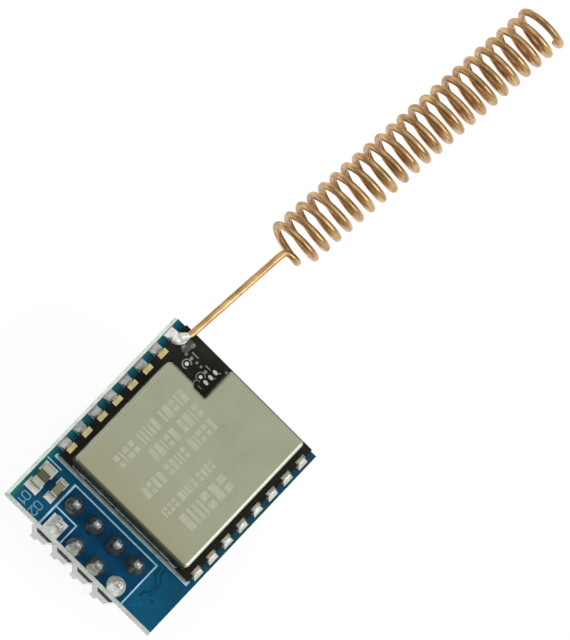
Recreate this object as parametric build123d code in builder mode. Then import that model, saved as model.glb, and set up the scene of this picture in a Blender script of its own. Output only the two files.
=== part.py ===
"""Plug-in radio transceiver board with a spring antenna, in millimetres.

A small carrier board takes a castellated radio module on its top face and a two-row pin header
on its underside. The module's parts sit under a drawn metal can with one corner notched away,
and a copper wire soldered beside that notch leads off to a long open coil.

The origin is the middle of the pin header, on the underside of its plastic housing, where the
header seats on a socket. X runs along the header's rows, Y towards the antenna, Z up.
"""

import os
from math import asin, cos, pi, radians, sin

from build123d import *

# Small round holes and solder are drawn with flats, to keep the model light
round_sides = 10

# Pin header
pin_spacing = 2.54
pin_columns = 4
pin_rows = 2
pin_width = 0.64
pin_below_housing = 6.0
pin_above_carrier = 1.55
pin_tip_chamfer = 0.18
housing_height = 2.5
housing_notch = 0.57
housing_side_trim = 0.09

# Carrier board: what it leaves free round the module, and beside the header for the capacitors
carrier_thickness = 1.6
carrier_edge_to_header = 2.25
carrier_strip_near = 5.65
carrier_strip_left = 1.13
carrier_strip_right = 0.87
carrier_strip_far = 0.05
capacitor_strip = 3.92
pin_hole_radius = 0.5

# Bevels that scoring left above and below the carrier's snapped edges
score_depth = 0.5
score_bevel_left = 0.265
score_bevel_right = 0.095
score_bevel_near = 0.2

# Solder at the header's pins
pin_solder_radius = 0.92
pin_solder_height = 1.05
pin_solder_shoulder_radius = 0.8
pin_solder_shoulder_height = 0.5
pin_solder_neck = 0.5
first_pin_land = 1.72

# Module board and its castellations
module_width = 16.0
module_length = 16.7
module_thickness = 0.8
castellations = 8
castellation_first = 1.27
castellation_last = 1.43
castellation_radius = 0.3
plating_thickness = 0.05
land_width = 1.0
land_depth_left = 0.5
land_depth_right = 0.34

# Tinned pads on the carrier
pad_thickness = 0.05
pad_width = 1.15
pad_under_module = 0.4
pad_edge_left = 0.325
pad_edge_right = 0.345

# Solder at the castellations
joint_width = 0.95
joint_rise = 0.66
joint_reach = 0.52
joint_hollow = 0.36

# Shield can
can_height = 2.4
can_wall = 0.2
can_inset_left = 0.945
can_inset_right = 1.125
can_inset_near = 0.21
can_inset_far = 0.52
can_corner_radius = 0.5
can_edge_radius = 0.3
notch_width = 4.5
notch_length = 3.38
notch_step_width = 1.34
notch_step_depth = 0.25
notch_step_slant = 0.25

# Solder tacks at the can's foot: length along the wall and place from the wall's left or near end
tack_rise = 0.35
tack_reach = 0.15
near_tack_length = 1.5
near_tack_start = 0.55
far_tack_length = 0.8
far_tack_from_right = 0.55
side_tack_length = 0.5
side_tack_start = 1.75

# Parts under the can
chip_size = 6.0
chip_height = 0.85
chip_standoff = 0.05
chip_leads_a_side = 6
chip_lead_spacing = 0.8
chip_lead_width = 0.3
chip_lead_length = 0.55
chip_ground_inset = 0.9
crystal_length = 3.2
crystal_width = 2.5
crystal_base_height = 0.45
crystal_lid_height = 0.25
crystal_lid_inset = 0.2
crystal_from_chip_y = -0.2
switch_length = 2.1
switch_width = 1.25
switch_height = 0.9
switch_lead_reach = 0.42
switch_lead_width = 0.25
switch_lead_spacing = 0.65
switch_lead_thickness = 0.15
switch_from_chip_x = -0.6
small_part_length = 1.0
small_part_width = 0.5
small_part_height = 0.5
small_part_end = 0.25
small_part_step = 0.03
matching_coil_step = 1.8
last_coil_from_switch = 3.3
near_row_step = 2.7
right_column_step = 1.6
right_column_shift = 0.4
left_column_step = 2.8

# How the free room under the can is shared, from wall to wall, in parts of it
shares_across = (0.525, 0.9, 1.0, 0.905)
shares_along = (1.14, 1.15, 1.45, 0.805, 1.935)

# Two-terminal capacitors on the carrier, each with its two pads
big_capacitor_length = 2.15
big_capacitor_width = 1.16
big_capacitor_height = 0.85
big_capacitor_end = 0.7
big_capacitor_from_edge = 1.3
big_capacitor_to_module = 2.33
big_pads_length = 3.08
big_pads_width = 1.45
big_pads_shift = 0.12
small_capacitor_length = 1.55
small_capacitor_width = 0.78
small_capacitor_height = 0.75
small_capacitor_end = 0.27
small_capacitor_from_edge = 3.05
small_capacitor_to_module = 2.18
small_pads_length = 2.5
small_pads_width = 0.96
small_pads_shift = 0.15
capacitor_pad_gap = 0.9
capacitor_body_inset = 0.03
capacitor_solder_rise = 0.4

# Spring antenna
wire_diameter = 0.7
wire_sides = 8
tail_x = 0.32
tail_y = -0.15
knee_x = 0.86
knee_y = 0.78
lead_length = 12.25
lead_lean = 4.3
coil_lean = 4.9
coil_outer_diameter = 5.1
turn_spacing = 1.425
coil_turns = 23.4
coil_sides = 12
first_turn_radius = 1.55
lead_bend_radius = 0.45
bend_steps = 3

# Solder over the antenna's tail
antenna_solder_width = 1.3
antenna_solder_height = 0.78
antenna_solder_slope = 0.3

# Heights of the faces that carry other pieces
carrier_bottom = housing_height
carrier_top = carrier_bottom + carrier_thickness
pads_top = carrier_top + pad_thickness
module_bottom = pads_top
module_top = module_bottom + module_thickness
lands_top = module_top + plating_thickness
can_top = module_top + can_height

# Places across the board, each from the edge of what carries it
carrier_width = carrier_strip_left + module_width + carrier_strip_right
carrier_length = carrier_strip_near + module_length + carrier_strip_far
carrier_left = -capacitor_strip - pin_spacing * pin_columns / 2
carrier_right = carrier_left + carrier_width
carrier_near = -carrier_edge_to_header
carrier_far = carrier_near + carrier_length
module_left = carrier_left + carrier_strip_left
module_right = module_left + module_width
module_near = carrier_near + carrier_strip_near
module_far = module_near + module_length
module_mid_x = module_left + module_width / 2
module_mid_y = module_near + module_length / 2
antenna_pad_y = module_far - castellation_last
castellation_spacing = (antenna_pad_y - module_near - castellation_first) / (castellations - 1)
castellation_mid_y = (module_near + castellation_first + antenna_pad_y) / 2
can_left = module_left + can_inset_left
can_right = module_right - can_inset_right
can_near = module_near + can_inset_near
can_far = module_far - can_inset_far

os.makedirs("parts", exist_ok=True)


def save(name, builder):
    """Label a finished piece and write it as its own file."""
    builder.part.label = name
    export_step(builder.part, f"parts/{name}.step")


def pin_places():
    """Header pins in the order of their numbers, along each row from the capacitors' side."""
    for row in range(pin_rows):
        for column in range(pin_columns):
            x = pin_spacing * (column - (pin_columns - 1) / 2)
            y = pin_spacing * (row - (pin_rows - 1) / 2)
            yield x, y


def board_outline(bevelled):
    """The carrier's outline, drawn in by the bevels of its scored edges where bevelled is 1."""
    left = carrier_left + bevelled * score_bevel_left
    right = carrier_right - bevelled * score_bevel_right
    near = carrier_near + bevelled * score_bevel_near
    with BuildSketch() as outline:
        with Locations(((left + right) / 2, (near + carrier_far) / 2)):
            Rectangle(right - left, carrier_far - near)
    return outline.sketch


# Carrier board: one fibreglass board, scored along two edges, with the header's plated holes
with BuildPart() as carrier_board:
    for height, bevelled in (
        (carrier_bottom, 1),
        (carrier_bottom + score_depth, 0),
        (carrier_top - score_depth, 0),
        (carrier_top, 1),
    ):
        with BuildSketch(Plane.XY.offset(height)):
            add(board_outline(bevelled))
    loft(ruled=True)
    with BuildSketch(Plane.XY.offset(carrier_bottom)):
        with GridLocations(pin_spacing, pin_spacing, pin_columns, pin_rows):
            RegularPolygon(pin_hole_radius, round_sides)
    extrude(amount=carrier_thickness, mode=Mode.SUBTRACT)
save("carrier_board", carrier_board)

# Tinned pads under both edges of the module
left_pad_start = carrier_left + pad_edge_left
left_pad_end = module_left + pad_under_module
right_pad_start = module_right - pad_under_module
right_pad_end = carrier_right - pad_edge_right
with BuildPart() as carrier_pads:
    with BuildSketch(Plane.XY.offset(carrier_top)):
        with Locations(((left_pad_start + left_pad_end) / 2, castellation_mid_y)):
            with GridLocations(0, castellation_spacing, 1, castellations):
                Rectangle(left_pad_end - left_pad_start, pad_width)
        with Locations(((right_pad_start + right_pad_end) / 2, castellation_mid_y)):
            with GridLocations(0, castellation_spacing, 1, castellations):
                Rectangle(right_pad_end - right_pad_start, pad_width)
    extrude(amount=pad_thickness)
save("carrier_pads", carrier_pads)

# Square land that marks the first pin, with the pin's hole through it
first_pin_x, first_pin_y = next(pin_places())
with BuildPart() as first_pin_pad:
    with BuildSketch(Plane.XY.offset(carrier_top)):
        with Locations((first_pin_x, first_pin_y)):
            Rectangle(first_pin_land, first_pin_land)
            RegularPolygon(pin_hole_radius, round_sides, mode=Mode.SUBTRACT)
        add(board_outline(1), mode=Mode.INTERSECT)
    extrude(amount=pad_thickness)
save("first_pin_pad", first_pin_pad)

# Header housing: one moulded strip, notched between its columns, with square holes for the pins
with BuildSketch() as housing_segment:
    Rectangle(pin_spacing, pin_spacing * pin_rows - 2 * housing_side_trim)
    chamfer(housing_segment.vertices(), length=housing_notch)
with BuildPart() as header_housing:
    with BuildSketch():
        with GridLocations(pin_spacing, 0, pin_columns, 1):
            add(housing_segment.sketch)
        with GridLocations(pin_spacing, pin_spacing, pin_columns, pin_rows):
            Rectangle(pin_width, pin_width, mode=Mode.SUBTRACT)
    extrude(amount=housing_height)
save("header_housing", header_housing)

# Header pins and the solder that fills each hole and rises round each pin
pin_length = pin_below_housing + carrier_top + pin_above_carrier
for number, (pin_x, pin_y) in enumerate(pin_places(), start=1):
    solder_base = pads_top if number == 1 else carrier_top
    solder_radius = first_pin_land / 2 if number == 1 else pin_solder_radius
    with BuildPart() as header_pin:
        with BuildSketch(Plane.XY.offset(-pin_below_housing)):
            with Locations((pin_x, pin_y)):
                Rectangle(pin_width, pin_width)
        extrude(amount=pin_length)
        end_faces = header_pin.faces().filter_by(Axis.Z)
        chamfer(end_faces.edges(), length=pin_tip_chamfer)
    save(f"header_pin_{number}", header_pin)

    with BuildPart() as header_solder:
        for height, radius in (
            (0, solder_radius),
            (pin_solder_shoulder_height, pin_solder_shoulder_radius),
            (pin_solder_height, pin_solder_neck),
        ):
            with BuildSketch(Plane.XY.offset(solder_base + height)):
                with Locations((pin_x, pin_y)):
                    RegularPolygon(radius, round_sides)
        loft(ruled=True)
        with BuildSketch(Plane.XY.offset(solder_base)):
            add(board_outline(1))
        extrude(amount=pin_solder_height, mode=Mode.INTERSECT)
        with BuildSketch(Plane.XY.offset(carrier_bottom)):
            with Locations((pin_x, pin_y)):
                RegularPolygon(pin_hole_radius, round_sides)
        extrude(amount=solder_base - carrier_bottom)
        with BuildSketch(Plane.XY.offset(carrier_bottom)):
            with Locations((pin_x, pin_y)):
                Rectangle(pin_width, pin_width)
        extrude(amount=pin_length, mode=Mode.SUBTRACT)
    save(f"header_solder_{number}", header_solder)

# Module board, with a half-round plated slot at each castellation
with BuildPart() as module_board:
    with BuildSketch(Plane.XY.offset(module_bottom)):
        with Locations((module_mid_x, module_mid_y)):
            Rectangle(module_width, module_length)
        with Locations((module_mid_x, castellation_mid_y)):
            with GridLocations(module_width, castellation_spacing, 2, castellations):
                RegularPolygon(castellation_radius, round_sides, mode=Mode.SUBTRACT)
    extrude(amount=module_thickness)
save("module_board", module_board)

# Gilded plating: the lining of each half-round slot and the land round its top
with BuildPart() as castellation_plating:
    with BuildSketch(Plane.XY.offset(module_bottom)):
        with Locations((module_mid_x, castellation_mid_y)):
            with GridLocations(module_width, castellation_spacing, 2, castellations):
                RegularPolygon(castellation_radius, round_sides)
                RegularPolygon(castellation_radius - plating_thickness, round_sides, mode=Mode.SUBTRACT)
        with Locations((module_mid_x, module_mid_y)):
            Rectangle(module_width, module_length, mode=Mode.INTERSECT)
    extrude(amount=module_thickness)
    with BuildSketch(Plane.XY.offset(module_top)):
        with Locations((module_left + land_depth_left / 2, castellation_mid_y)):
            with GridLocations(0, castellation_spacing, 1, castellations):
                Rectangle(land_depth_left, land_width)
        with Locations((module_right - land_depth_right / 2, castellation_mid_y)):
            with GridLocations(0, castellation_spacing, 1, castellations):
                Rectangle(land_depth_right, land_width)
        with Locations((module_mid_x, castellation_mid_y)):
            with GridLocations(module_width, castellation_spacing, 2, castellations):
                RegularPolygon(castellation_radius - plating_thickness, round_sides, mode=Mode.SUBTRACT)
    extrude(amount=plating_thickness)
save("castellation_plating", castellation_plating)


def fillet_profile(edge, outward, base, rise, reach, hollow):
    """Hollow fillet of solder, seen from its end: it rises at edge and runs out to its foot."""
    with BuildSketch() as profile:
        with BuildLine():
            Polyline(
                (edge, base),
                (edge, base + rise),
                (edge + outward * reach * hollow, base + rise * hollow),
                (edge + outward * reach, base),
                close=True,
            )
        make_face()
    return profile.sketch


# Solder joints between the castellations and the carrier's pads
for side, edge_x, outward in (("left", module_left, -1), ("right", module_right, 1)):
    with BuildPart() as solder_joints:
        for index in range(castellations):
            joint_y = module_near + castellation_first + castellation_spacing * index
            with BuildSketch(Plane.XZ.offset(-joint_y)):
                add(fillet_profile(edge_x, outward, pads_top, joint_rise, joint_reach, joint_hollow))
        extrude(amount=joint_width / 2, both=True)
    save(f"solder_joints_{side}", solder_joints)

# Shield can: one drawn sheet, open underneath, with a stepped notch at the antenna's corner
notch_right = can_left + notch_width
notch_near = can_far - notch_length
step_left = notch_right - notch_step_width
with BuildSketch() as can_outline:
    with BuildLine():
        Polyline(
            (can_left, can_near),
            (can_right, can_near),
            (can_right, can_far),
            (notch_right, can_far),
            (notch_right, notch_near - notch_step_depth),
            (step_left, notch_near - notch_step_depth),
            (step_left - notch_step_slant, notch_near),
            (can_left, notch_near),
            close=True,
        )
    make_face()


def round_corners(outline):
    """The can's outward corners: two at each end of its width, and the notch's corner at the far end."""
    far_corners = outline.vertices().group_by(Axis.Y)[-1]
    ends = outline.vertices().group_by(Axis.X)[0] + outline.vertices().group_by(Axis.X)[-1]
    return ends + far_corners.sort_by(Axis.X)[:1]


with BuildSketch() as can_plan:
    add(can_outline.sketch)
    fillet(round_corners(can_plan), radius=can_corner_radius)
with BuildSketch() as can_cavity:
    add(can_outline.sketch)
    offset(amount=-can_wall, kind=Kind.INTERSECTION, mode=Mode.REPLACE)
    chamfer(round_corners(can_cavity), length=can_corner_radius - can_wall)
with BuildPart() as shield_can:
    with BuildSketch(Plane.XY.offset(module_top)):
        add(can_plan.sketch)
    extrude(amount=can_height)
    fillet(shield_can.faces().sort_by(Axis.Z)[-1].edges(), radius=can_edge_radius)
    with BuildSketch(Plane.XY.offset(module_top)):
        add(can_cavity.sketch)
    extrude(amount=can_height - can_wall, mode=Mode.SUBTRACT)
save("shield_can", shield_can)

# Solder tacks that hold the can's foot to the module board
with BuildPart() as can_solder:
    near_tack = can_left + near_tack_start + near_tack_length / 2
    far_tack = can_right - far_tack_from_right - far_tack_length / 2
    for tack_x, tack_length in ((near_tack, near_tack_length), (far_tack, far_tack_length)):
        with BuildSketch(Plane.YZ.offset(tack_x)):
            add(fillet_profile(can_near, -1, module_top, tack_rise, tack_reach, joint_hollow))
        extrude(amount=tack_length / 2, both=True)
    with BuildSketch(Plane.XZ.offset(-(can_near + side_tack_start + side_tack_length / 2))):
        add(fillet_profile(can_right, 1, module_top, tack_rise, tack_reach, joint_hollow))
    extrude(amount=side_tack_length / 2, both=True)
save("can_solder", can_solder)


def spread(start, end, lengths, shares):
    """Middles of pieces set in a row between two walls, with the free room shared out between them."""
    free = end - start - sum(lengths)
    middles = []
    place = start
    for length, share in zip(lengths, shares):
        place += free * share / sum(shares)
        middles.append(place + length / 2)
        place += length
    return middles


# Columns and rows of the parts under the can
crystal_x, chip_x, right_column_x = spread(
    can_left + can_wall, can_right - can_wall, (crystal_length, chip_size, small_part_length), shares_across
)
switch_reach = switch_width + 2 * switch_lead_reach
near_row_y, chip_y, coil_row_y, switch_y = spread(
    can_near + can_wall,
    can_far - can_wall,
    (small_part_width, chip_size, small_part_width, switch_reach),
    shares_along,
)
crystal_y = chip_y + crystal_from_chip_y
switch_x = chip_x + switch_from_chip_x

# Radio chip: a moulded square body on its solder lands
chip_bottom = module_top + chip_standoff
with BuildPart() as radio_chip:
    with BuildSketch(Plane.XY.offset(chip_bottom)):
        with Locations((chip_x, chip_y)):
            Rectangle(chip_size, chip_size)
    extrude(amount=chip_height)
save("radio_chip", radio_chip)

lead_line = chip_size / 2 - chip_lead_length / 2
with BuildPart() as radio_chip_lands:
    with BuildSketch(Plane.XY.offset(module_top)):
        with Locations((chip_x, chip_y)):
            Rectangle(chip_size - 2 * chip_ground_inset, chip_size - 2 * chip_ground_inset)
            for side in (-1, 1):
                with Locations((side * lead_line, 0)):
                    with GridLocations(0, chip_lead_spacing, 1, chip_leads_a_side):
                        Rectangle(chip_lead_length, chip_lead_width)
                with Locations((0, side * lead_line)):
                    with GridLocations(chip_lead_spacing, 0, chip_leads_a_side, 1):
                        Rectangle(chip_lead_width, chip_lead_length)
    extrude(amount=chip_standoff)
save("radio_chip_lands", radio_chip_lands)

# Crystal: a ceramic base with a seam-welded metal lid
with BuildPart() as crystal_base:
    with BuildSketch(Plane.XY.offset(module_top)):
        with Locations((crystal_x, crystal_y)):
            Rectangle(crystal_length, crystal_width)
    extrude(amount=crystal_base_height)
save("crystal_base", crystal_base)

with BuildPart() as crystal_lid:
    with BuildSketch(Plane.XY.offset(module_top + crystal_base_height)):
        with Locations((crystal_x, crystal_y)):
            Rectangle(crystal_length - 2 * crystal_lid_inset, crystal_width - 2 * crystal_lid_inset)
    extrude(amount=crystal_lid_height)
    chamfer(crystal_lid.edges().filter_by(Axis.Z), length=crystal_lid_inset)
save("crystal_lid", crystal_lid)

# Antenna switch: a small moulded body with three flat leads a side
with BuildPart() as antenna_switch:
    with BuildSketch(Plane.XY.offset(module_top)):
        with Locations((switch_x, switch_y)):
            Rectangle(switch_length, switch_width)
    extrude(amount=switch_height)
save("antenna_switch", antenna_switch)

with BuildPart() as antenna_switch_leads:
    with BuildSketch(Plane.XY.offset(module_top)):
        with Locations((switch_x, switch_y)):
            with GridLocations(switch_lead_spacing, switch_width + switch_lead_reach, 3, 2):
                Rectangle(switch_lead_width, switch_lead_reach)
    extrude(amount=switch_lead_thickness)
save("antenna_switch_leads", antenna_switch_leads)


def small_parts(places):
    """Chip parts lying along X: a body between two ends that stand slightly proud of it."""
    end_offset = (small_part_length - small_part_end) / 2
    with BuildPart() as parts:
        with BuildSketch(Plane.XY.offset(module_top)):
            with Locations(*places):
                Rectangle(small_part_length, small_part_width - 2 * small_part_step)
        extrude(amount=small_part_height - small_part_step)
        with BuildSketch(Plane.XY.offset(module_top)):
            with Locations(*places):
                with Locations((-end_offset, 0), (end_offset, 0)):
                    Rectangle(small_part_end, small_part_width)
        extrude(amount=small_part_height)
    return parts


# Matching coils and decoupling capacitors of the module
coil_places = [(chip_x + step * matching_coil_step, coil_row_y) for step in (-1, 0, 1)]
coil_places.append((switch_x + last_coil_from_switch, switch_y))
right_places = [
    (right_column_x, chip_y - right_column_shift + step * right_column_step) for step in (-2, -1, 0, 1, 2)
]
left_places = [(crystal_x, crystal_y + step * left_column_step) for step in (-1, 1)]
left_places += [(chip_x + step * near_row_step, near_row_y) for step in (-1, 0, 1)]
save("matching_coils", small_parts(coil_places))
save("chip_capacitors_right", small_parts(right_places))
save("chip_capacitors_left", small_parts(left_places))


def carrier_capacitor(name, centre, length, width, height, end, pads_length, pads_width, pads_shift):
    """A ceramic capacitor with two metal ends on its two pads, which may lie a little nearer than it."""
    pads_centre = (centre[0], centre[1] - pads_shift)
    pad_length = (pads_length - capacitor_pad_gap) / 2
    with BuildPart() as pads:
        with BuildSketch(Plane.XY.offset(carrier_top)):
            with Locations(pads_centre):
                with GridLocations(0, pads_length - pad_length, 1, 2):
                    Rectangle(pads_width, pad_length)
        extrude(amount=pad_thickness)
    save(f"{name}_pads", pads)

    with BuildPart() as body:
        with BuildSketch(Plane.XY.offset(pads_top + capacitor_body_inset)):
            with Locations(centre):
                Rectangle(width - 2 * capacitor_body_inset, length - 2 * end)
        extrude(amount=height - 2 * capacitor_body_inset)
    save(f"{name}_body", body)

    with BuildPart() as ends:
        with BuildSketch(Plane.XY.offset(pads_top)):
            with Locations(centre):
                with GridLocations(0, length - end, 1, 2):
                    Rectangle(width, end)
        extrude(amount=height)
        chamfer(ends.edges().filter_by(Axis.X), length=capacitor_body_inset)
    save(f"{name}_ends", ends)

    with BuildPart() as solder:
        for outward in (-1, 1):
            end_y = centre[1] + outward * length / 2
            foot_y = pads_centre[1] + outward * pads_length / 2
            with BuildSketch(Plane.YZ.offset(centre[0])):
                add(
                    fillet_profile(
                        end_y, outward, pads_top, capacitor_solder_rise, abs(foot_y - end_y), joint_hollow
                    )
                )
            extrude(amount=width / 2, both=True)
    save(f"{name}_solder", solder)


carrier_capacitor(
    "capacitor_1",
    (carrier_left + big_capacitor_from_edge, module_near - big_capacitor_to_module),
    big_capacitor_length,
    big_capacitor_width,
    big_capacitor_height,
    big_capacitor_end,
    big_pads_length,
    big_pads_width,
    big_pads_shift,
)
carrier_capacitor(
    "capacitor_2",
    (carrier_left + small_capacitor_from_edge, module_near - small_capacitor_to_module),
    small_capacitor_length,
    small_capacitor_width,
    small_capacitor_height,
    small_capacitor_end,
    small_pads_length,
    small_pads_width,
    small_pads_shift,
)

# Spring antenna: one copper wire, from its tail on the last left land to the coil's cut end
wire_height = lands_top + wire_diameter / 2
coil_radius = (coil_outer_diameter - wire_diameter) / 2
tail = Vector(module_left + tail_x, antenna_pad_y + tail_y, wire_height)
knee = Vector(module_left + knee_x, antenna_pad_y + knee_y, wire_height)
coil_start = knee + lead_length * Vector(sin(radians(lead_lean)), cos(radians(lead_lean)), 0)
along = Vector(sin(radians(coil_lean)), cos(radians(coil_lean)), 0)
across = Vector(cos(radians(coil_lean)), -sin(radians(coil_lean)), 0)
upward = Vector(0, 0, 1)


def coil_point(turn, radius, drop):
    """A point of the right-handed helix, by turns from its top, with the ring lowered by drop."""
    angle = 2 * pi * turn
    ring = radius * sin(angle) * across + (radius * cos(angle) - drop) * upward
    return axis_start + turn_spacing * turn * along + ring


first_turn_drop = coil_radius - first_turn_radius
start_angle = asin(lead_bend_radius / first_turn_radius)
start_turn = start_angle / (2 * pi)
axis_start = coil_start + (first_turn_drop - first_turn_radius * cos(start_angle)) * upward
wire_points = [tail, knee]
for step in range(bend_steps):
    angle = pi / 2 * step / bend_steps
    reach = first_turn_radius * sin(start_angle) - lead_bend_radius * cos(angle)
    wire_points.append(
        coil_start + reach * across + (lead_bend_radius * (sin(angle) - 1) + turn_spacing * start_turn) * along
    )
for step in range(1, coil_sides // 2):
    wire_points.append(coil_point(step / coil_sides, first_turn_radius, first_turn_drop))
for step in range(coil_sides // 2, int(coil_turns * coil_sides) + 1):
    wire_points.append(coil_point(step / coil_sides, coil_radius, 0))
wire_points.append(coil_point(coil_turns, coil_radius, 0))
with BuildPart() as spring_antenna:
    with BuildLine() as wire_path:
        Polyline(*wire_points)
    with BuildSketch(Plane(origin=tail, x_dir=upward, z_dir=knee - tail)):
        RegularPolygon(wire_diameter / 2, wire_sides, major_radius=False, rotation=180 / wire_sides)
    sweep(path=wire_path.line, transition=Transition.RIGHT)
save("spring_antenna", spring_antenna)

# Solder mound that holds the antenna's tail to its land
mound_start = module_left
mound_end = knee.X + wire_diameter / 2
mound_centre = ((mound_start + mound_end) / 2, antenna_pad_y + knee_y / 2)
mound_length = mound_end - mound_start
with BuildPart() as antenna_solder:
    for height, shrink in ((0, 0), (antenna_solder_height, antenna_solder_slope)):
        with BuildSketch(Plane.XY.offset(lands_top + height)) as mound_plan:
            with Locations(mound_centre):
                Rectangle(mound_length - 2 * shrink, antenna_solder_width - 2 * shrink)
            chamfer(mound_plan.vertices(), length=antenna_solder_slope)
    loft()
    add(spring_antenna.part, mode=Mode.SUBTRACT)
save("antenna_solder", antenna_solder)
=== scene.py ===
"""Looks of a plug-in radio board with a spring antenna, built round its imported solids.

Everything is in metres in the frame of the solids: the origin is the middle of the pin header on
the underside of its housing, X runs along the header's rows, Y to the antenna and Z up. The tables
of places on the boards are in millimetres.
"""

import bmesh
import bpy
import numpy as np
from bpy.props import FloatProperty, FloatVectorProperty, IntProperty, PointerProperty
from mathutils import Matrix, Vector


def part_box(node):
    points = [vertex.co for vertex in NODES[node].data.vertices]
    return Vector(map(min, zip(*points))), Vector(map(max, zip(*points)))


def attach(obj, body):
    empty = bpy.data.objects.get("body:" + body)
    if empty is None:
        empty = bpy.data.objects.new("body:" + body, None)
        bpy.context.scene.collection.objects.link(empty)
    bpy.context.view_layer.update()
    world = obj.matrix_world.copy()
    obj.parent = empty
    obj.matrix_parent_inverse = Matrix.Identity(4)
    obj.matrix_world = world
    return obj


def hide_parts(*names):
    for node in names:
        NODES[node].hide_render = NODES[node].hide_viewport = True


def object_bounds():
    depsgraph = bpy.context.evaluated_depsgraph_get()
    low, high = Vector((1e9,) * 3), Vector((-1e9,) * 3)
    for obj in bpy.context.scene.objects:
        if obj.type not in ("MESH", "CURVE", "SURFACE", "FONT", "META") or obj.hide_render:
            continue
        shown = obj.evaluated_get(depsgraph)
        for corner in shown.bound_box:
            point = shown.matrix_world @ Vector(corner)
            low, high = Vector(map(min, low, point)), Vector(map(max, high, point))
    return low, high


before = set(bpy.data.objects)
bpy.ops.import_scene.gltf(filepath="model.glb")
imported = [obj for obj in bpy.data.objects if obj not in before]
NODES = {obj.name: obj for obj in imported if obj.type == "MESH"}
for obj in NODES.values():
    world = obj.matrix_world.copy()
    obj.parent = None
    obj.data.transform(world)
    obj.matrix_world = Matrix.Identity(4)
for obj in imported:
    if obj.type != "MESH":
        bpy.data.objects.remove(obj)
CAD_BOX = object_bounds()

bl_info = {
    "name": "Plug-in radio board",
    "version": (1, 0, 0),
    "blender": (4, 5, 0),
    "location": "View3D > Sidebar > Radio board",
    "description": "Finishes the solids of a plug-in radio board with a spring antenna",
    "category": "Object",
}

MM = 0.001
MICROMETRE = 1e-6
FULL_TURN = 2 * np.pi
# Points closer than this are one point
SAME_PLACE = 1e-7


def display(red, green, blue):
    """Linear colour of display values from 0 to 255: a plain share near black, else a power of 2.4."""
    values = np.array([red, green, blue]) / 255
    linear = np.where(values < 0.04045, values / 12.92, ((values + 0.055) / 1.055) ** 2.4)
    return tuple(float(value) for value in linear)


def length_property(name, description, millimetres):
    return FloatProperty(name=name, description=description, default=millimetres * MM, unit="LENGTH")


def angle_property(name, description, degrees):
    angle = np.radians(degrees)
    return FloatProperty(name=name, description=description, default=angle, subtype="ANGLE")


def number_property(name, description, value, lowest=0.0):
    return FloatProperty(name=name, description=description, default=value, min=lowest)


def colour_property(name, description, *shown):
    return FloatVectorProperty(
        name=name, description=description, default=display(*shown), size=3, subtype="COLOR", min=0, max=1
    )


def top_of(node):
    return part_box(node)[1].z


# Shapes worked out as whole arrays


def quads(rows, columns, wrap):
    """Faces between the points of a grid stored row by row, each by the numbers of its four corners.

    Point number = row times columns plus column. With wrap, the last column is joined to the first.
    """
    across = columns if wrap else columns - 1
    row, column = np.meshgrid(np.arange(rows - 1), np.arange(across), indexing="ij")
    after = (column + 1) % columns
    near, far = row * columns, (row + 1) * columns
    return np.stack([near + column, near + after, far + after, far + column], axis=-1).reshape(-1, 4)


def ring_shell(rings):
    """Skin over rings of points, row by row, with a lid on the first ring and on the last."""
    rows, columns = rings.shape[:2]
    faces = quads(rows, columns, True).tolist()
    faces += [list(range(columns)), list(range((rows - 1) * columns, rows * columns))]
    return rings.reshape(-1, 3), faces


def join(shells):
    """One set of points and faces from several: face numbers are raised by the points before them."""
    points = np.vstack([shell[0] for shell in shells])
    faces = []
    start = 0
    for shell_points, shell_faces in shells:
        faces += [[corner + start for corner in face] for face in shell_faces]
        start += len(shell_points)
    return points, faces


def put_piece(name, shell, finish, smooth=True, attribute=None):
    """Make a piece from points and faces, close its seams and poles, and turn its faces outwards."""
    points, faces = shell
    mesh = bpy.data.meshes.new(name)
    mesh.from_pydata(points.tolist(), [], faces)
    if attribute is not None:
        layer = mesh.attributes.new(attribute[0], "FLOAT_VECTOR", "POINT")
        layer.data.foreach_set("vector", attribute[1].astype(np.float32).ravel())
    work = bmesh.new()
    work.from_mesh(mesh)
    bmesh.ops.remove_doubles(work, verts=work.verts, dist=SAME_PLACE)
    bmesh.ops.recalc_face_normals(work, faces=work.faces)
    work.to_mesh(mesh)
    work.free()
    mesh.polygons.foreach_set("use_smooth", np.full(len(mesh.polygons), smooth))
    mesh.materials.append(material(finish))
    piece = placed(name, mesh)
    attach(piece, "root")
    return piece


def put_flat(name, shells, finish):
    return put_piece(name, join(shells), finish, smooth=False)


def placed(name, data):
    """New object of the scene."""
    made = bpy.data.objects.new(name, data)
    bpy.context.scene.collection.objects.link(made)
    return made


def one_long(vectors):
    return vectors / np.linalg.norm(vectors, axis=-1, keepdims=True)


def even_angles(count):
    return np.linspace(0, FULL_TURN, count, endpoint=False)


def round_places(angles):
    """Places at some angles on a circle with a radius of one."""
    return np.stack([np.cos(angles), np.sin(angles)], axis=-1)


def mound_places(rows, columns):
    """Grid of places on a mound: from 0 to 1 on the way out, and from -1 to 1 across it."""
    return np.meshgrid(np.linspace(0, 1, rows), np.linspace(-1, 1, columns), indexing="ij")


def lengths_along(path):
    """Length of a path up to each of its points: the running sum of its gaps."""
    return np.concatenate([[0], np.cumsum(np.linalg.norm(np.diff(path, axis=0), axis=1))])


def miters(line, closed):
    """Sideways vector at each point of a flat line that keeps an offset line's runs parallel to it.

    A run's normal is its direction turned a quarter to the right. The vector at a point is the sum
    of the two normals that meet there, divided by one plus their dot product.
    """
    runs = one_long(np.roll(line, -1, axis=0) - line if closed else np.diff(line, axis=0))
    normals = np.stack([runs[:, 1], -runs[:, 0]], axis=1)
    before = np.roll(normals, 1, axis=0) if closed else np.vstack([normals[:1], normals])
    after = normals if closed else np.vstack([normals, normals[-1:]])
    return (before + after) / (1 + np.sum(before * after, axis=1, keepdims=True))


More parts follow.
